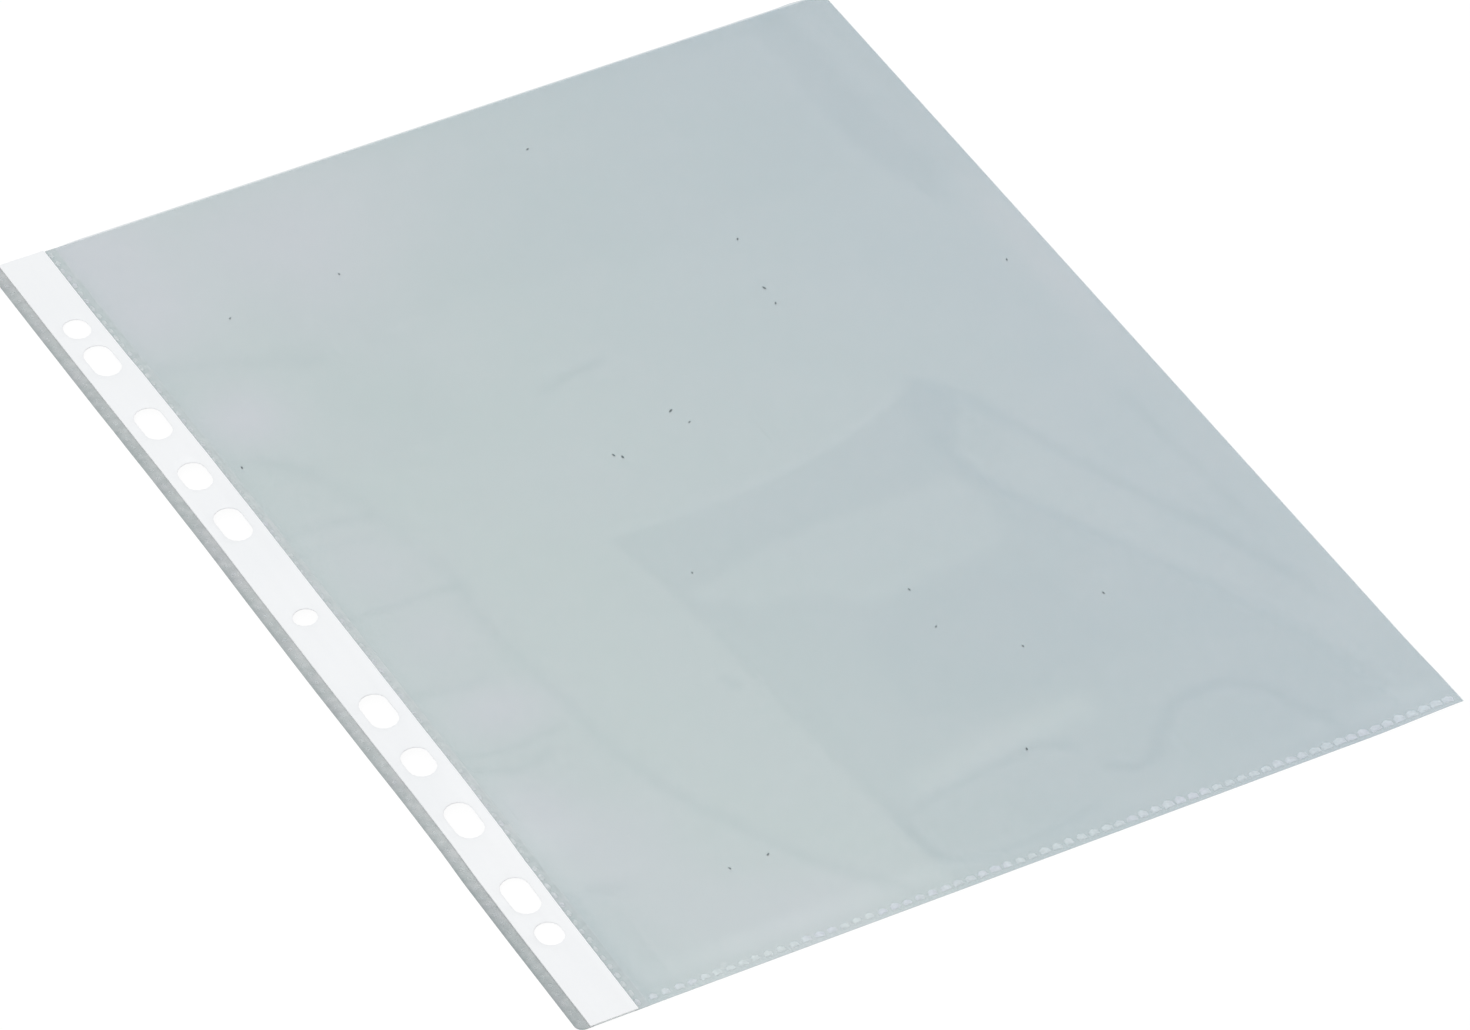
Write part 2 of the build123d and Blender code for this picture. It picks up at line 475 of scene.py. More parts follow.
def set_grain(tree, shader, where, low, high, strength, line_scale=900.0, mottle_scale=1400.0):
    """Puts the fine grain on a shader's roughness and normal. Gives the grain's node."""
    grain = place(
        tree, "ShaderNodeGroup", {"node_tree": fine_grain},
        Where=where, Line_Scale=line_scale, Mottle_Scale=mottle_scale, Low_Roughness=low, High_Roughness=high,
    )
    bump = place(
        tree, "ShaderNodeBump", Strength=strength, Distance=0.02 * MM, Height=grain.outputs["Height"],
    )
    tree.links.new(grain.outputs["Roughness"], shader.inputs["Roughness"])
    tree.links.new(bump.outputs[0], shader.inputs["Normal"])
    return grain


def set_cast(tree, shader, colours, **inputs):
    """Puts the drifting cast of three colours on a shader."""
    drift = place(
        tree, "ShaderNodeGroup", {"node_tree": colour_drift},
        Teal_Film=colours[0], Blue_Film=colours[1], Lavender_Film=colours[2], **inputs,
    )
    tree.links.new(drift.outputs["Color"], shader.inputs["Base Color"])


def set_cover(tree, shader, share):
    """Lets a film cover this share of what lies behind it, more where its mesh carries a tone of painted
    shade, less where that tone is below zero.
    """
    painted_shade_cover = maths(tree, "MULTIPLY", attribute(tree, "tone"), TONE_GAIN)
    covered = maths(tree, "ADD", painted_shade_cover, share)
    tree.links.new(maths(tree, "MAXIMUM", covered, 0.0), shader.inputs["Alpha"])


def make_film_material():
    """Clear film with a drifting cast, and painted shade along its creases and settled areas, painted
    highlight in places.
    """
    material, tree, shader, where = new_material("film_clear")
    bluer = maths(tree, "MULTIPLY", attribute(tree, "tone"), TONE_BLUER)
    set_cast(tree, shader, FILM_COLOURS, Where=where, Lavender=attribute(tree, "lavender"), Bluer=bluer)
    set_cover(tree, shader, FILM_ALPHA)
    set_grain(tree, shader, where, low=0.20, high=0.28, strength=0.05)
    return material


def make_weld_material(name, colours, alpha):
    """Sealed film: cloudier than the panels, with an uneven density and cast from the sealing bar."""
    material, tree, shader, where = new_material(name)
    lavender = ranged(tree, noise(tree, where, scale=110.0), 0.45, 0.65)
    set_cast(tree, shader, colours, Where=where, Lavender=lavender)
    set_cover(tree, shader, ranged(tree, noise(tree, where, scale=420.0, detail=3.0), 0.30, 0.70, *alpha))
    set_grain(tree, shader, where, low=0.20, high=0.34, strength=0.20)
    return material


def make_strip_material():
    """White strip: opaque matte plastic with a faint mottle and a satin skin."""
    material, tree, shader, where = new_material("strip_white")
    grain = set_grain(
        tree, shader, where, low=0.42, high=0.56, strength=0.25, line_scale=500.0, mottle_scale=900.0,
    )
    white = mixed(tree, ranged(tree, noise(tree, where, scale=26.0), 0.3, 0.7), *STRIP_WHITES)
    mottle = ranged(tree, grain.outputs["Mottle"], 0.35, 0.65, 0.0, 0.10)
    tree.links.new(mixed(tree, mottle, white, STRIP_MOTTLE), shader.inputs["Base Color"])
    return material


def make_speck_material():
    """Dust: dull dark grey fibres."""
    material, tree, shader, where = new_material("dust_grey")
    dull = mixed(tree, ranged(tree, noise(tree, where, scale=900.0, detail=1.0), 0.3, 0.7), *DUST_GREYS)
    tree.links.new(dull, shader.inputs["Base Color"])
    shader.inputs["Roughness"].default_value = 0.8
    return material


film_material = make_film_material()
band_material = make_weld_material("weld_band", BAND_COLOURS, BAND_ALPHA)
edge_material = make_weld_material("weld_edge", EDGE_COLOURS, EDGE_ALPHA)
# Bead materials carry painted glints in their light colours
bead_material = make_weld_material("weld_bead", HAZE_AND_GLINT_BEAD_COLOURS, BEAD_ALPHA)
spine_bead_material = make_weld_material("weld_bead_spine", GLINT_BEAD_COLOURS, SPINE_BEAD_ALPHA)
edge_bead_material = make_weld_material("weld_bead_edge", GLINT_BEAD_COLOURS, EDGE_BEAD_ALPHA)
strip_material = make_strip_material()
speck_material = make_speck_material()


# Meshes

def new_piece(name, points, faces, material):
    """Mesh object at the origin, smooth except along its rims."""
    mesh = bpy.data.meshes.new(name)
    mesh.from_pydata([tuple(p) for p in points], [], faces)
    mesh.materials.append(material)
    mesh.shade_smooth()
    mesh.set_sharp_from_angle(angle=math.radians(SHARP_ANGLE))
    return add_object(name, mesh)


def thin_sheet(name, middle, thickness, material):
    """Closed sheet of even thickness round a grid of middle points."""
    along = np.gradient(middle, axis=0)
    up = np.gradient(middle, axis=1)
    normal = np.cross(along, up)
    normal /= np.linalg.norm(normal, axis=2)[:, :, None]
    columns, rows = middle.shape[:2]
    upper = (middle + normal * thickness / 2).reshape(-1, 3)
    lower = (middle - normal * thickness / 2).reshape(-1, 3)
    count = columns * rows
    number = np.arange(count).reshape(columns, rows)
    corners = [number[:-1, :-1], number[1:, :-1], number[1:, 1:], number[:-1, 1:]]
    quads = np.stack(corners, -1).reshape(-1, 4)
    faces = quads.tolist() + (quads[:, ::-1] + count).tolist()
    rim = np.concatenate([number[:-1, 0], number[-1, :-1], number[:0:-1, -1], number[0, :0:-1]])
    for here, after in zip(rim, np.roll(rim, -1)):
        faces.append([int(after), int(here), int(here + count), int(after + count)])
    return new_piece(name, np.concatenate([upper, lower]), faces, material)


def loft(name, sections, material):
    """Closed bar through a row of closed sections with the same number of points."""
    sections = np.array(sections, float)
    rows, around = sections.shape[:2]
    faces = []
    for row in range(rows - 1):
        here = row * around
        beyond = here + around
        for k in range(around):
            after = (k + 1) % around
            faces.append([here + k, here + after, beyond + after, beyond + k])
    faces.append(list(range(around))[::-1])
    faces.append([(rows - 1) * around + k for k in range(around)])
    return new_piece(name, sections.reshape(-1, 3), faces, material)


def carry(piece, name, values):
    """Stores one number for each point of a piece."""
    made = piece.data.attributes.new(name, "FLOAT", "POINT")
    made.data.foreach_set("value", np.asarray(values, np.float32).ravel())


def carry_both(piece, name, values):
    """Stores the same numbers on the upper and on the lower face of a piece."""
    carry(piece, name, np.tile(values.ravel(), 2))


# Film shape

def smooth_path(points, samples):
    """Even curve through given points."""
    p = np.array(points, float)
    p = np.vstack([2 * p[0] - p[1], p, 2 * p[-1] - p[-2]])
    spots = np.linspace(0, len(points) - 1, samples)
    start = np.minimum(spots.astype(int), len(points) - 2)
    t = (spots - start)[:, None]
    a, b, c, d = p[start], p[start + 1], p[start + 2], p[start + 3]
    square = 2 * a - 5 * b + 4 * c - d
    cube = 3 * b - a - 3 * c + d
    return 0.5 * (2 * b + (c - a) * t + square * t ** 2 + cube * t ** 3)


def nearest(x, y, path):
    """Distance of each place from a path, and how far along it the nearest point lies, from 0 to 1."""
    best = np.full(x.shape, 1e9)
    share = np.zeros(x.shape)
    for k, (px, py) in enumerate(path):
        gap = np.hypot(x - px, y - py)
        closer = gap < best
        best[closer] = gap[closer]
        share[closer] = k / (len(path) - 1)
    return best, share


def inside(x, y, outline):
    """Whether each place lies inside an outline."""
    found = np.zeros(x.shape, bool)
    for (ax, ay), (bx, by) in zip(outline, np.roll(outline, -1, axis=0)):
        if ay == by:
            continue
        crosses = (ay > y) != (by > y)
        found ^= crosses & (x < (bx - ax) * (y - ay) / (by - ay) + ax)
    return found


def soft_step(value):
    """Smooth rise from 0 to 1."""
    t = np.clip(value, 0, 1)
    return t * t * (3 - 2 * t)


def eased(spots, places, values):
    """Values between given places, with an even ease from each to the next."""
    before = np.clip(np.searchsorted(places, spots) - 1, 0, len(places) - 2)
    share = soft_step((spots - places[before]) / (places[before + 1] - places[before]))
    return values[before] + share * (values[before + 1] - values[before])


def weld_tone(y):
    """Extra tone of the spine weld at places along it, in millimetres."""
    places, tones = zip(*WELD_TONE)
    return np.interp(y, places, tones)


def front_form(x, y):
    """Height over the flat panel, tone and lavender cast of the front panel, for places in metres."""
    x = x / MM
    y = y / MM
    height = np.zeros(x.shape)
    tone = np.zeros(x.shape)
    for rise, half_width, shade, points in CREASES:
        gap, share = nearest(x, y, smooth_path(points, CREASE_SAMPLES))
        ends = soft_step(share / CREASE_END) * soft_step((1 - share) / CREASE_END)
        ridge = np.exp(-(gap / half_width) ** 2) * ends
        height += rise * ridge
        tone += shade * ridge
    for drop, shade, edge, points in SETTLED_AND_PAINTED_SHADE:
        gap, _ = nearest(x, y, smooth_path(points + points[:1], OUTLINE_SAMPLES))
        signed = np.where(inside(x, y, np.array(points, float)), gap, -gap)
        share = soft_step(0.5 + signed / (2 * edge))
        height -= drop * share
        tone += shade * share
    from_spine = x - pocket_left / MM
    # Painted shade on the film beside the spine weld
    beside_spine = np.exp(-(from_spine / SPINE_SHADE_REACH) ** 2)
    tone += (SPINE_PAINTED_SHADE + SPINE_SHADE_SHARE * weld_tone(y)) * beside_spine
    lavender = np.zeros(x.shape)
    for cx, cy, reach_x, reach_y, strength in LAVENDER:
        lavender += strength * np.exp(-((x - cx) / reach_x) ** 2 - ((y - cy) / reach_y) ** 2)
    # Painted highlight where the lavender cast lies
    tone -= LAVENDER_LIGHTENS * lavender
    height += SWELL + SWELL_WAVE * np.sin(x / 31.0 + y / 53.0) * np.sin(y / 41.0 - 0.6)
    off_welds = soft_step(from_spine / SEAL_REACH) * soft_step((y - hem_top / MM) / SEAL_REACH)
    off_fold = soft_step((pocket_right / MM - x) / FOLD_REACH)
    height = np.maximum(height, DEEPEST) * off_fold * off_welds
    height -= (1 - off_welds) * (front_middle_z - welded_z) / MM
    return height * MM, np.clip(tone, -1, 1), np.clip(lavender, 0, 1)


def lay(x, y):
    """Height of the whole protector over the floor, in metres: the strip arches and a corner curls."""
    heights = np.array(STRIP_ARCH)
    course = np.linspace(heights[0, 0], heights[-1, 0], ARCH_SAMPLES)
    outer = np.interp(y / MM, course, eased(course, heights[:, 0], heights[:, 1]))
    inner = np.interp(y / MM, course, eased(course, heights[:, 0], heights[:, 2]))
    across = np.clip((x - edge_low.x) / (strip_high.x - edge_low.x), 0, 1)
    over_weld = 1 - WELD_DROP * np.clip((x - strip_high.x) / (pocket_left - strip_high.x), 0, 1)
    into_pocket = 1 - soft_step((x - pocket_left) / ARCH_REACH)
    arch = (outer + (inner - outer) * across) * over_weld * into_pocket
    curl_x = soft_step((x / MM - HEM_CORNER_START[0]) / HEM_CORNER_REACH[0])
    curl_y = soft_step((HEM_CORNER_START[1] - y / MM) / HEM_CORNER_REACH[1])
    return (arch + HEM_CORNER_LIFT * curl_x * curl_y) * MM


def settle(piece):
    """Lays a flat piece on the floor as the rest lies."""
    mesh = piece.data
    spots = np.zeros(len(mesh.vertices) * 3, np.float32)
    mesh.vertices.foreach_get("co", spots)
    spots = spots.reshape(-1, 3).astype(float)
    spots[:, 2] += lay(spots[:, 0], spots[:, 1])
    mesh.vertices.foreach_set("co", spots.astype(np.float32).ravel())
    mesh.update()
    return piece


def steps(low, high, step):
    """Even places from low to high, about a step apart."""
    return np.linspace(low, high, max(2, round((high - low) / step) + 1))


def joined(places, at_start, at_end, width=JOINT_WIDTH):
    """Places with one more beside each end where the film runs on into the next piece."""
    first = [places[0] + width] if at_start else []
    last = [places[-1] - width] if at_end else []
    return np.concatenate([places[:1], first, places[1:-1], last, places[-1:]])


def front_half(name, x_low, x_high):
    """One half of the front panel, from a side edge to the middle."""
    columns = joined(steps(x_low, x_high, FRONT_STEP), True, True)
    rows = joined(steps(hem_top, mouth, FRONT_STEP), True, False)
    x, y = np.meshgrid(columns, rows, indexing="ij")
    height, tone, lavender = front_form(x, y)
    tone[0, :] = tone[-1, :] = tone[:, 0] = JOINT_TONE
    half = thin_sheet(name, np.stack([x, y, front_middle_z + height], -1), film, film_material)
    carry_both(half, "tone", tone)
    carry_both(half, "lavender", lavender)
    return half


def back_and_fold():
    """Back panel, the half-round fold into the front one, and the lower layer of the bottom seal."""
    panel_x = joined(steps(pocket_left, pocket_right, BACK_STEP), True, False)
    half_turn = np.linspace(-math.pi / 2, math.pi / 2, FOLD_POINTS)
    turn = joined(half_turn, False, True, JOINT_WIDTH / fold_middle_radius)[1:]
    fold_x = pocket_right + fold_middle_radius * np.cos(turn)
    fold_z = back_middle_z + fold_middle_radius * (1 + np.sin(turn))
    path_x = np.concatenate([panel_x, fold_x])
    path_z = np.concatenate([np.full(len(panel_x), back_middle_z), fold_z])
    flat = np.arange(len(path_x))[:, None] < len(panel_x)
    x, y = np.meshgrid(path_x, steps(hem_low.y, mouth, BACK_STEP), indexing="ij")
    pressed = 1 - soft_step((y - hem_top) / (SEAL_REACH * MM))
    flattened = (welded_z - back_middle_z) / (front_middle_z - back_middle_z)
    z = back_middle_z + (path_z[:, None] - back_middle_z) * (1 - pressed * (1 - flattened))
    ripple = np.maximum(0, np.sin(x / (47 * MM) + 1.1) * np.sin(y / (63 * MM)))
    reach = RIPPLE_REACH * MM
    ease = soft_step((x - pocket_left) / reach) * soft_step((pocket_right - x) / reach)
    z = z + np.where(flat, RIPPLE * MM * ripple * ease, 0)
    sheet = thin_sheet("back_film_and_fold", np.stack([x, y, z], -1), film, film_material)
    _, _, lavender = front_form(x, y)
    tone = np.zeros(x.shape)
    tone[0, :] = tone[-1, :] = JOINT_TONE
    carry_both(sheet, "tone", tone)
    carry_both(sheet, "lavender", lavender)
    return sheet


# Welds

def spine_band():
    """Sealed band along the strip's inner edge, with the seal under the strip and a close row of points at
    its bend line.
    """
    lip = spine_low.x
    edge = strip_high.x
    foot = edge + 0.05 * MM
    groove_near = edge + 0.4 * MM
    groove_far = edge + 0.8 * MM
    groove_z = weld_thickness * 0.96
    bend = joined(np.linspace(bend_start, pocket_left, BEND_POINTS), False, True)
    section = [(lip, 0.0), (edge, 0.0)] + [(x, 0.0) for x in bend]
    section += [(x, weld_thickness) for x in bend[::-1]]
    section += [(groove_far, groove_z), (groove_near, groove_z), (foot, weld_thickness)]
    section += [(edge, strip_underside), (lip, strip_underside)]
    places = steps(spine_low.y, spine_high.y, WELD_STEP)[::-1]
    band = loft("spine_weld_band", [[(x, y, z) for x, z in section] for y in places], band_material)
    # Painted shadow of the strip at its edge and foot, painted shade in the groove, and the faded joint at
    # the pocket
    tones = {edge: 1.0, foot: 1.0, groove_near: 0.4, pocket_left: JOINT_TONE}
    carry(band, "tone", [tones.get(x, 0.0) + weld_tone(y / MM) for y in places for x, z in section])
    return band


def edge_band():
    """Clear outer edge beside the strip, with rounded corners and the seal that runs in under the strip."""
    left = edge_low.x
    seat = strip_low.x
    lip = edge_high.x
    corner = EDGE_CORNER
    bottom = edge_low.y
    top = edge_high.y
    turn = [corner * (1 - math.cos(k * math.pi / 12)) for k in range(7)]
    places = [bottom + t for t in turn] + list(steps(bottom + corner, top - corner, WELD_STEP))[1:-1]
    places += [top - t for t in turn[::-1]]
    sections = []
    for y in places:
        short = min(y - bottom, top - y, corner)
        inset = corner - math.sqrt(max(0.0, corner ** 2 - (corner - short) ** 2))
        outer = left + inset
        # From the outer rim along the underside to the strip, and back over the top
        sections.append((
            (outer, y, 0.02 * MM),
            (outer + 0.06 * MM, y, 0.0),
            (lip, y, 0.0),
            (lip, y, strip_underside),
            (seat, y, strip_underside),
            (seat - 0.05 * MM, y, weld_thickness),
            (outer + 0.35 * (seat - outer), y, weld_thickness),
            (outer + 0.12 * MM, y, weld_thickness * 0.8),
            (outer, y, weld_thickness * 0.5),
        ))
    band = loft("edge_weld_band", sections[::-1], edge_material)
    # Painted shade, mostly along the outer rim of the clear edge
    painted_rim_shade = np.array((1.6, 1.6, 0.0, 0.0, 0.0, 0.0, 0.5, 1.6, 2.0))
    low_end = [soft_step((LOW_END_START - y / MM) / LOW_END_REACH) for y in places[::-1]]
    carry(band, "tone", [painted_rim_shade + LOW_END_TONE * share for share in low_end])
    return band


def bottom_band():
    """Upper layer of the seal that closes the bottom of the pocket, thinner towards its outer rim."""
    underside = film + HEM_AIR
    section = (
        (hem_low.y, underside),
        (hem_top - JOINT_WIDTH, underside),
        (hem_top, underside),
        (hem_top, weld_thickness),
        (hem_top - JOINT_WIDTH, weld_thickness),
        (hem_low.y + 0.9 * MM, weld_thickness * 0.97),
        (hem_low.y + 0.4 * MM, weld_thickness * 0.92),
        (hem_low.y, weld_thickness * 0.7),
    )
    places = steps(hem_low.x, pocket_right, HEM_STEP)
    band = loft("bottom_weld_band", [[(x, y, z) for y, z in section] for x in places], film_material)
    _, tone, lavender = front_form(places, np.full(places.shape, hem_top))
    at_joint = np.array([y == hem_top for y, z in section])
    carry(band, "tone", np.where(at_joint, JOINT_TONE, tone[:, None]))
    carry(band, "lavender", np.repeat(lavender, len(section)))
    return band


# Punched layers of the binding margin

def rounded_slot(centre_x, centre_y, length, width, corner_points=9):
    """Outline of a slot that runs along Y, or of a round hole where both sizes are the same."""
    radius = width / 2
    reach = length / 2 - radius
    turn = np.linspace(0, math.pi, corner_points)
    upper = [(centre_x + radius * math.cos(t), centre_y + reach + radius * math.sin(t)) for t in turn]
    lower = [(centre_x - radius * math.cos(t), centre_y - reach - radius * math.sin(t)) for t in turn]
    return upper + lower if reach > SAME_PLACE else upper[:-1] + lower[:-1]


def punched_holes(margin):
    """Outlines of all the holes, this much wider all round."""
    middle = (strip_low.x + strip_high.x) / 2
    outlines = []
    for offset, length, width in HOLES:
        for side in ((1, -1) if offset else (1,)):
            outlines.append(rounded_slot(
                middle, side * offset * MM, length * MM + 2 * margin, width * MM + 2 * margin,
            ))
    return outlines


def punched_layer(name, low, high, lip, wider, material):
    """Closed layer between two corners, with every hole punched this much wider and a lip round each."""
    y_low, y_high = strip_low.y, strip_high.y
    columns = steps(low.x, high.x, PUNCHED_STEP_X)
    rows = steps(y_low, y_high, PUNCHED_STEP_Y)
    rim = [(x, y_low) for x in columns[:-1]] + [(high.x, y) for y in rows[:-1]]
    rim += [(x, y_high) for x in columns[:0:-1]] + [(low.x, y) for y in rows[:0:-1]]
    holes = punched_holes(wider)
    lips = punched_holes(wider + LIP_REACH * lip)
    spots = []
    edges = []
    for outline in [rim] + holes + lips:
        first = len(spots)
        spots += [Vector(p) for p in outline]
        edges += [(first + k, first + (k + 1) % len(outline)) for k in range(len(outline))]
    x, y = (part.ravel() for part in np.meshgrid(columns[1:-1], rows[1:-1]))
    clear = np.ones(x.shape, bool)
    for outline in lips:
        path = np.array(outline)
        clear &= (nearest(x, y, path)[0] > LIP_CLEAR) & ~inside(x, y, path)
    spots += [Vector(p) for p in zip(x[clear], y[clear])]
    made = geometry.delaunay_2d_cdt(spots, edges, [], 0, MERGE_WIDTH)
    flat = np.array([tuple(p) for p in made[0]])
    centres = np.array([flat[list(face)].mean(axis=0) for face in made[2]])
    kept = np.ones(len(centres), bool)
    top = np.full(len(flat), high.z)
    under = np.full(len(flat), low.z)
    tone = np.zeros(len(flat))
    for outline in holes:
        path = np.array(outline)
        kept &= ~inside(centres[:, 0], centres[:, 1], path)
        at_hole = nearest(flat[:, 0], flat[:, 1], path)[0] < SAME_PLACE
        top[at_hole] -= lip
        tone[at_hole] = JOINT_TONE
    tops = [list(face) for face, keep in zip(made[2], kept) if keep]
    count = len(flat)
    faces = tops + [[k + count for k in face[::-1]] for face in tops]
    sides = {(here, after) for face in tops for here, after in zip(face, face[1:] + face[:1])}
    for here, after in sorted(sides):
        if (after, here) not in sides:
            faces.append([after, here, here + count, after + count])
    points = np.concatenate([np.column_stack([flat, top]), np.column_stack([flat, under])])
    layer = new_piece(name, points, faces, material)
    carry_both(layer, "tone", tone)
    return layer


# Beads and dust, grown by geometry nodes

def random_vector(tree, low, high, seed):
    """Random vector between two corners for each point."""
    made = place(tree, "FunctionNodeRandomValue", {"data_type": "FLOAT_VECTOR"})
    made.inputs[0].default_value = low
    made.inputs[1].default_value = high
    connect(tree, made.inputs[8], seed)
    return made.outputs[0]


def finish_growth(tree, given, out, instances):
    """Makes one coated mesh of the instances, as the tree's result."""
    whole = place(tree, "GeometryNodeRealizeInstances", Geometry=instances).outputs[0]
    coated = place(tree, "GeometryNodeSetMaterial", Geometry=whole, Material=given.outputs["Material"])
    tree.links.new(coated.outputs[0], out.inputs[0])


def make_bead_row():
    """Row of raised weld beads: six-sided shells with one side cut flat, each a little different."""
    inputs = {
        "Geometry": "Geometry",
        "Start": "Vector",
        "Step": "Vector",
        "Count": "Int",
        "Size": "Vector",
        "Lean": "Vector",
        "Low Side": "Float",
        "First Size": "Float",
        "Seed": "Int",
        "Material": "Material",
    }
    tree, given, out = new_tree("weld_bead_row", "GeometryNodeTree", inputs, {"Geometry": "Geometry"})
    count, first_size, seed = (given.outputs[label] for label in ("Count", "First Size", "Seed"))
    row = place(
        tree, "GeometryNodeMeshLine", {"mode": "OFFSET"},
        Count=count, Start_Location=given.outputs["Start"], Offset=given.outputs["Step"],
    )
    shell = place(
        tree, "GeometryNodeMeshCone", {"fill_type": "NGON"},
        Vertices=6, Side_Segments=2, Fill_Segments=1, Radius_Top=0.62, Radius_Bottom=1.0, Depth=1.0,
    )
    quarter_turn = (0.0, 0.0, math.pi / 2)
    upright = place(tree, "GeometryNodeTransform", Geometry=shell.outputs[0], Rotation=quarter_turn)
    position = tree.nodes.new("GeometryNodeInputPosition").outputs[0]
    across, along, level = place(tree, "ShaderNodeSeparateXYZ", Vector=position).outputs
    kept_side = maths(tree, "MAXIMUM", along, given.outputs["Low Side"])
    squared = place(tree, "ShaderNodeCombineXYZ", X=across, Y=kept_side, Z=level)
    cut = place(tree, "GeometryNodeSetPosition", Geometry=upright.outputs[0], Position=squared.outputs[0])
    tilt = place(
        tree, "ShaderNodeVectorMath", {"operation": "SCALE"}, Vector=given.outputs["Lean"], Scale=level,
    )
    leaning = place(tree, "GeometryNodeSetPosition", Geometry=cut.outputs[0], Offset=tilt.outputs[0])
    sized = place(tree, "GeometryNodeTransform", Geometry=leaning.outputs[0], Scale=given.outputs["Size"])
    turned = random_vector(tree, (0.0, 0.0, -0.16), (0.0, 0.0, 0.16), seed)
    scaled = random_vector(tree, (0.80, 0.78, 0.75), (1.05, 1.08, 1.15), seed)
    moved = random_vector(tree, (-BEAD_SHIFT, -BEAD_SHIFT, 0.0), (BEAD_SHIFT, BEAD_SHIFT, 0.0), seed)
    uneven = place(tree, "GeometryNodeSetPosition", Geometry=row.outputs[0], Offset=moved)
    shells = place(
        tree, "GeometryNodeInstanceOnPoints",
        Points=uneven.outputs[0], Instance=sized.outputs[0], Rotation=turned, Scale=scaled,
    )
    index = tree.nodes.new("GeometryNodeInputIndex").outputs[0]
    share = maths(tree, "DIVIDE", index, count)
    growing = maths(tree, "MULTIPLY", maths(tree, "SUBTRACT", 1.0, first_size), share)
    size = maths(tree, "ADD", growing, first_size)
    graded = place(tree, "GeometryNodeScaleInstances", Instances=shells.outputs[0], Scale=size)
    finish_growth(tree, given, out, graded.outputs[0])
    return tree


def make_speck_spray():
    """Dust on given points: flat fibres that lie at any angle."""
    inputs = {"Geometry": "Geometry", "Fibre": "Vector", "Seed": "Int", "Material": "Material"}
    tree, given, out = new_tree("dust_spray", "GeometryNodeTree", inputs, {"Geometry": "Geometry"})
    grain = place(tree, "GeometryNodeMeshIcoSphere", Radius=1.0, Subdivisions=1)
    fibre = place(tree, "GeometryNodeTransform", Geometry=grain.outputs[0], Scale=given.outputs["Fibre"])
    turned = random_vector(tree, (0.0, 0.0, 0.6), (0.0, 0.0, 1.9), given.outputs["Seed"])
    length = place(tree, "GeometryNodeInputNamedAttribute", {"data_type": "FLOAT"}, Name="length")
    flecks = place(
        tree, "GeometryNodeInstanceOnPoints", Points=given.outputs["Geometry"],
        Instance=fibre.outputs[0], Rotation=turned, Scale=length.outputs[0],
    )
    finish_growth(tree, given, out, flecks.outputs[0])
    return tree


def grow(name, tree, base, values):
    """Runs a geometry node tree on a base mesh, and keeps the result as a plain mesh."""
    seedling = add_object(name + "_base", base)
    growth = seedling.modifiers.new("growth", "NODES")
    growth.node_group = tree
    sockets = {s.name: s.identifier for s in tree.interface.items_tree if s.in_out == "INPUT"}
    for label, value in values.items():
        growth[sockets[label]] = value
    grown = seedling.evaluated_get(bpy.context.evaluated_depsgraph_get())
    mesh = bpy.data.meshes.new_from_object(grown)
    mesh.name = name
    mesh.materials.clear()
    mesh.materials.append(values["Material"])
    mesh.polygons.foreach_set("material_index", [0] * len(mesh.polygons))
    bpy.data.objects.remove(seedling)
    return add_object(name, mesh)


bead_row = make_bead_row()
speck_spray = make_speck_spray()


def beads(name, start, end, size, seed, material, lean=(0.0, 0.0, 0.0), low_side=-1.0, first_size=1.0):
    """Row of beads from one place to another at the sealing bar's pitch, growing to the last."""
    run = Vector(end) - Vector(start)
    values = {
        "Start": start,
        "Step": tuple(run.normalized() * BEAD_PITCH),
        "Count": int(run.length / BEAD_PITCH) + 1,
        "Size": size,
        "Lean": lean,
        "Low Side": low_side,
        "First Size": first_size,
        "Seed": seed,
        "Material": material,
    }
    return grow(name, bead_row, bpy.data.meshes.new(name + "_row"), values)


def specks(name, chosen, seed):
    """Dust at the chosen places of the front panel."""
    x, y, length = np.array(chosen).T
    x = x * MM
    y = y * MM
    height, _, _ = front_form(x, y)
    spots = np.stack([x, y, front_middle_z + film / 2 + height], -1)
    base = bpy.data.meshes.new(name + "_points")
    base.from_pydata([tuple(p) for p in spots], [], [])
    lengths = base.attributes.new("length", "FLOAT", "POINT")
    lengths.data.foreach_set("value", length.astype(np.float32))
    return grow(name, speck_spray, base, {"Fibre": FIBRE, "Seed": seed, "Material": speck_material})


# Pieces, and the bodies that carry them

back = settle(back_and_fold())
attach(back, "pocket")
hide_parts("back_film", "side_fold")

left_half = settle(front_half("front_film_spine_half", pocket_left, seam_x))
right_half = settle(front_half("front_film_fold_half", seam_x, pocket_right))
left_specks = [speck for speck in SPECKS if speck[0] * MM < seam_x]
right_specks = [speck for speck in SPECKS if speck[0] * MM >= seam_x]
dust_left = settle(specks("dust_spine_half", left_specks, seed=5))
dust_right = settle(specks("dust_fold_half", right_specks, seed=9))
for piece, side_x in (
    (left_half, pocket_left),
    (dust_left, pocket_left),
    (right_half, pocket_right),
    (dust_right, pocket_right),
):
    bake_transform(piece)
for piece in (left_half, right_half):
    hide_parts("front_film")

edge_bead_x = (edge_low.x + strip_low.x) / 2
spine_bead_x = strip_high.x + SPINE_BEAD_OFFSET
hem_bead_y = hem_low.y + HEM_BEAD_OFFSET
bead_seat = weld_thickness - BEAD_SINK

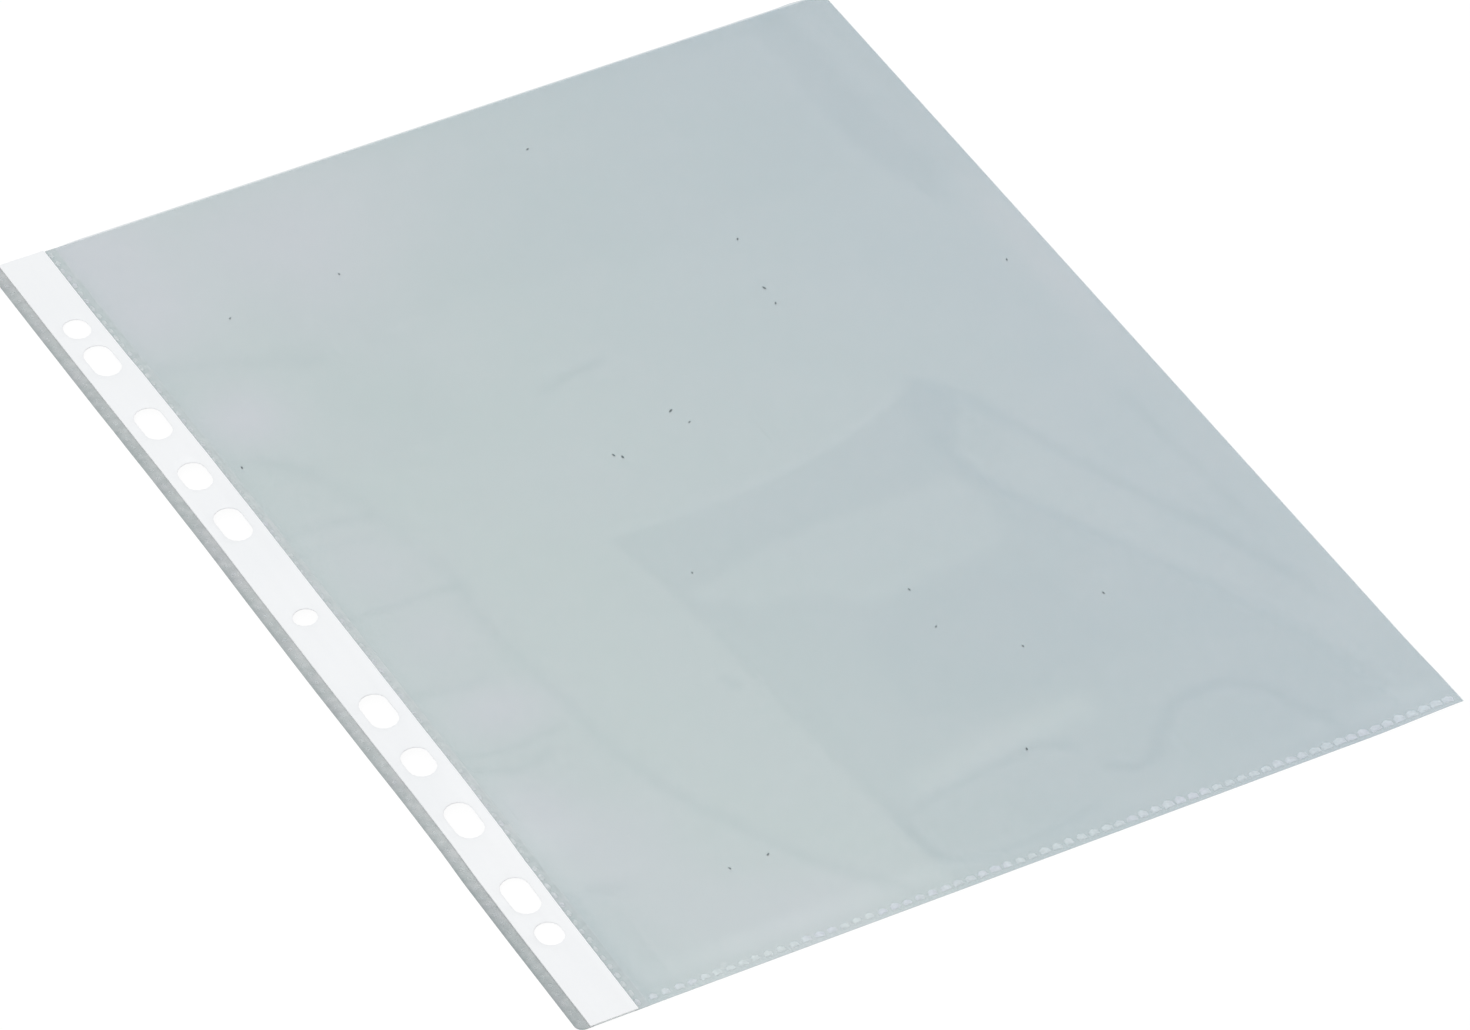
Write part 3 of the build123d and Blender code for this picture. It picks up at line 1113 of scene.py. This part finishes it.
edge_piece = edge_band()
edge_beads = beads(
    "edge_weld_beads",
    start=(edge_bead_x, edge_low.y + 3 * MM, bead_seat),
    end=(edge_bead_x, edge_high.y - 3 * MM, bead_seat),
    size=(0.6 * MM, 0.9 * MM, 0.06 * MM),
    seed=3,
    material=edge_bead_material,
)
spine_piece = spine_band()
spine_beads = beads(
    "spine_weld_beads",
    start=(spine_bead_x, spine_low.y + 2 * MM, bead_seat),
    end=(spine_bead_x, spine_high.y - 2 * MM, bead_seat),
    size=(0.68 * MM, 1.20 * MM, 0.14 * MM),
    seed=11,
    material=spine_bead_material,
    lean=(0.2, 0.2, 0.0),
)
hem_piece = bottom_band()
hem_beads = beads(
    "bottom_weld_beads",
    start=(hem_low.x + 2 * MM, hem_bead_y, bead_seat),
    end=(hem_high.x - 1.0 * MM, hem_bead_y, bead_seat),
    size=(1.72 * MM, 1.74 * MM, 0.16 * MM),
    seed=7,
    material=bead_material,
    lean=(-0.10, 0.15, 0.0),
    low_side=-0.5,
    first_size=0.7,
)
strip = punched_layer("white_strip", strip_low, strip_high, STRIP_LIP, 0.0, strip_material)
front_margin = punched_layer(
    "front_film_margin", *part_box("front_margin_film"), FILM_LIP, RIM_SETBACK, film_material,
)
back_margin = punched_layer(
    "back_film_margin", *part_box("back_margin_film"), FILM_LIP, RIM_SETBACK, film_material,
)

for piece, node, slot in (
    (strip, "binding_strip", "strip"),
    (front_margin, "front_margin_film", "film"),
    (back_margin, "back_margin_film", "film"),
    (edge_piece, "edge_weld", "weld"),
    (edge_beads, "edge_weld", "weld"),
    (spine_beads, "spine_weld", "weld"),
):
    settle(piece)
    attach(piece, "binding")
    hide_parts(node)
for piece in (hem_piece, hem_beads):
    settle(piece)
    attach(piece, "pocket")
    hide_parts("bottom_weld")
settle(spine_piece)
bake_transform(spine_piece)
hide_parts("spine_weld")


# Floor, world, lights and camera

def background_rays(tree):
    """Share of rays that should see the plain background: those of the camera, gloss and clear film."""
    path = tree.nodes.new("ShaderNodeLightPath")
    seen = maths(tree, "MAXIMUM", path.outputs["Is Camera Ray"], path.outputs["Is Glossy Ray"])
    return maths(tree, "MAXIMUM", seen, path.outputs["Is Transmission Ray"])


def show_mixed(tree, share, first, second, output_kind):
    """Mixes two shaders by a share, and shows the mix."""
    both = tree.nodes.new("ShaderNodeMixShader")
    for socket, value in zip(both.inputs, (share, first.outputs[0], second.outputs[0])):
        tree.links.new(value, socket)
    out = tree.nodes.new(output_kind)
    tree.links.new(both.outputs[0], out.inputs["Surface"])


def make_floor():
    """Pale floor that shows white and keeps a faint shadow."""
    mesh = bpy.data.meshes.new("floor")
    corners = [(x * FLOOR_HALF, y * FLOOR_HALF, FLOOR_LEVEL) for x, y in ((-1, -1), (1, -1), (1, 1), (-1, 1))]
    mesh.from_pydata(corners, [], [(0, 1, 2, 3)])
    material = bpy.data.materials.new("floor_white")
    material.use_nodes = True
    tree = material.node_tree
    tree.nodes.clear()
    matte = place(tree, "ShaderNodeBsdfDiffuse", Color=FLOOR_GREY)
    glow = place(tree, "ShaderNodeEmission", Color=WHITE, Strength=FLOOR_GLOW)
    share = maths(tree, "MULTIPLY", background_rays(tree), FLOOR_GLOW_SHARE)
    show_mixed(tree, share, matte, glow, "ShaderNodeOutputMaterial")
    mesh.materials.append(material)
    floor = add_object("floor", mesh)


def make_world():
    """White surroundings, dimmer as a light than as a background."""
    world = bpy.data.worlds.new("studio")
    bpy.context.scene.world = world
    world.use_nodes = True
    tree = world.node_tree
    tree.nodes.clear()
    fill = place(tree, "ShaderNodeBackground", Color=WHITE, Strength=WORLD_LIGHT)
    seen = place(tree, "ShaderNodeBackground", Color=WHITE, Strength=1.0)
    show_mixed(tree, background_rays(tree), fill, seen, "ShaderNodeOutputWorld")


def make_softbox(name, place_at, width, height, power):
    """Soft rectangular lamp that faces the pocket."""
    lamp = bpy.data.lights.new(name, "AREA")
    lamp.shape = "RECTANGLE"
    lamp.size = width
    lamp.size_y = height
    lamp.energy = power
    made = add_object(name, lamp)
    made.location = place_at
    made.rotation_euler = (-Vector(place_at)).to_track_quat("-Z", "Y").to_euler()


def make_camera():
    """Camera where the photograph was taken from."""
    azimuth, elevation, roll = (math.radians(v) for v in (CAMERA_AZIMUTH, CAMERA_ELEVATION, CAMERA_ROLL))
    back_axis = Vector((
        math.sin(azimuth) * math.cos(elevation),
        -math.cos(azimuth) * math.cos(elevation),
        math.sin(elevation),
    ))
    level_right = Vector((math.cos(azimuth), math.sin(azimuth), 0.0))
    level_up = back_axis.cross(level_right)
    right_axis = math.cos(roll) * level_right + math.sin(roll) * level_up
    up_axis = math.cos(roll) * level_up - math.sin(roll) * level_right
    lens = bpy.data.cameras.new("camera")
    lens.lens = CAMERA_LENS
    lens.sensor_width = CAMERA_SENSOR
    lens.clip_start = 0.1
    lens.clip_end = 50.0
    camera = add_object("camera", lens)
    spot = Vector(CAMERA_TARGET) * MM + back_axis * (CAMERA_DISTANCE * MM)
    turned = Matrix((right_axis, up_axis, back_axis)).transposed().to_4x4()
    camera.matrix_world = Matrix.Translation(spot) @ turned
    bpy.context.scene.camera = camera


make_floor()
make_world()
for softbox in SOFTBOXES:
    make_softbox(*softbox)
make_camera()
bpy.context.scene.view_settings.view_transform = "Standard"
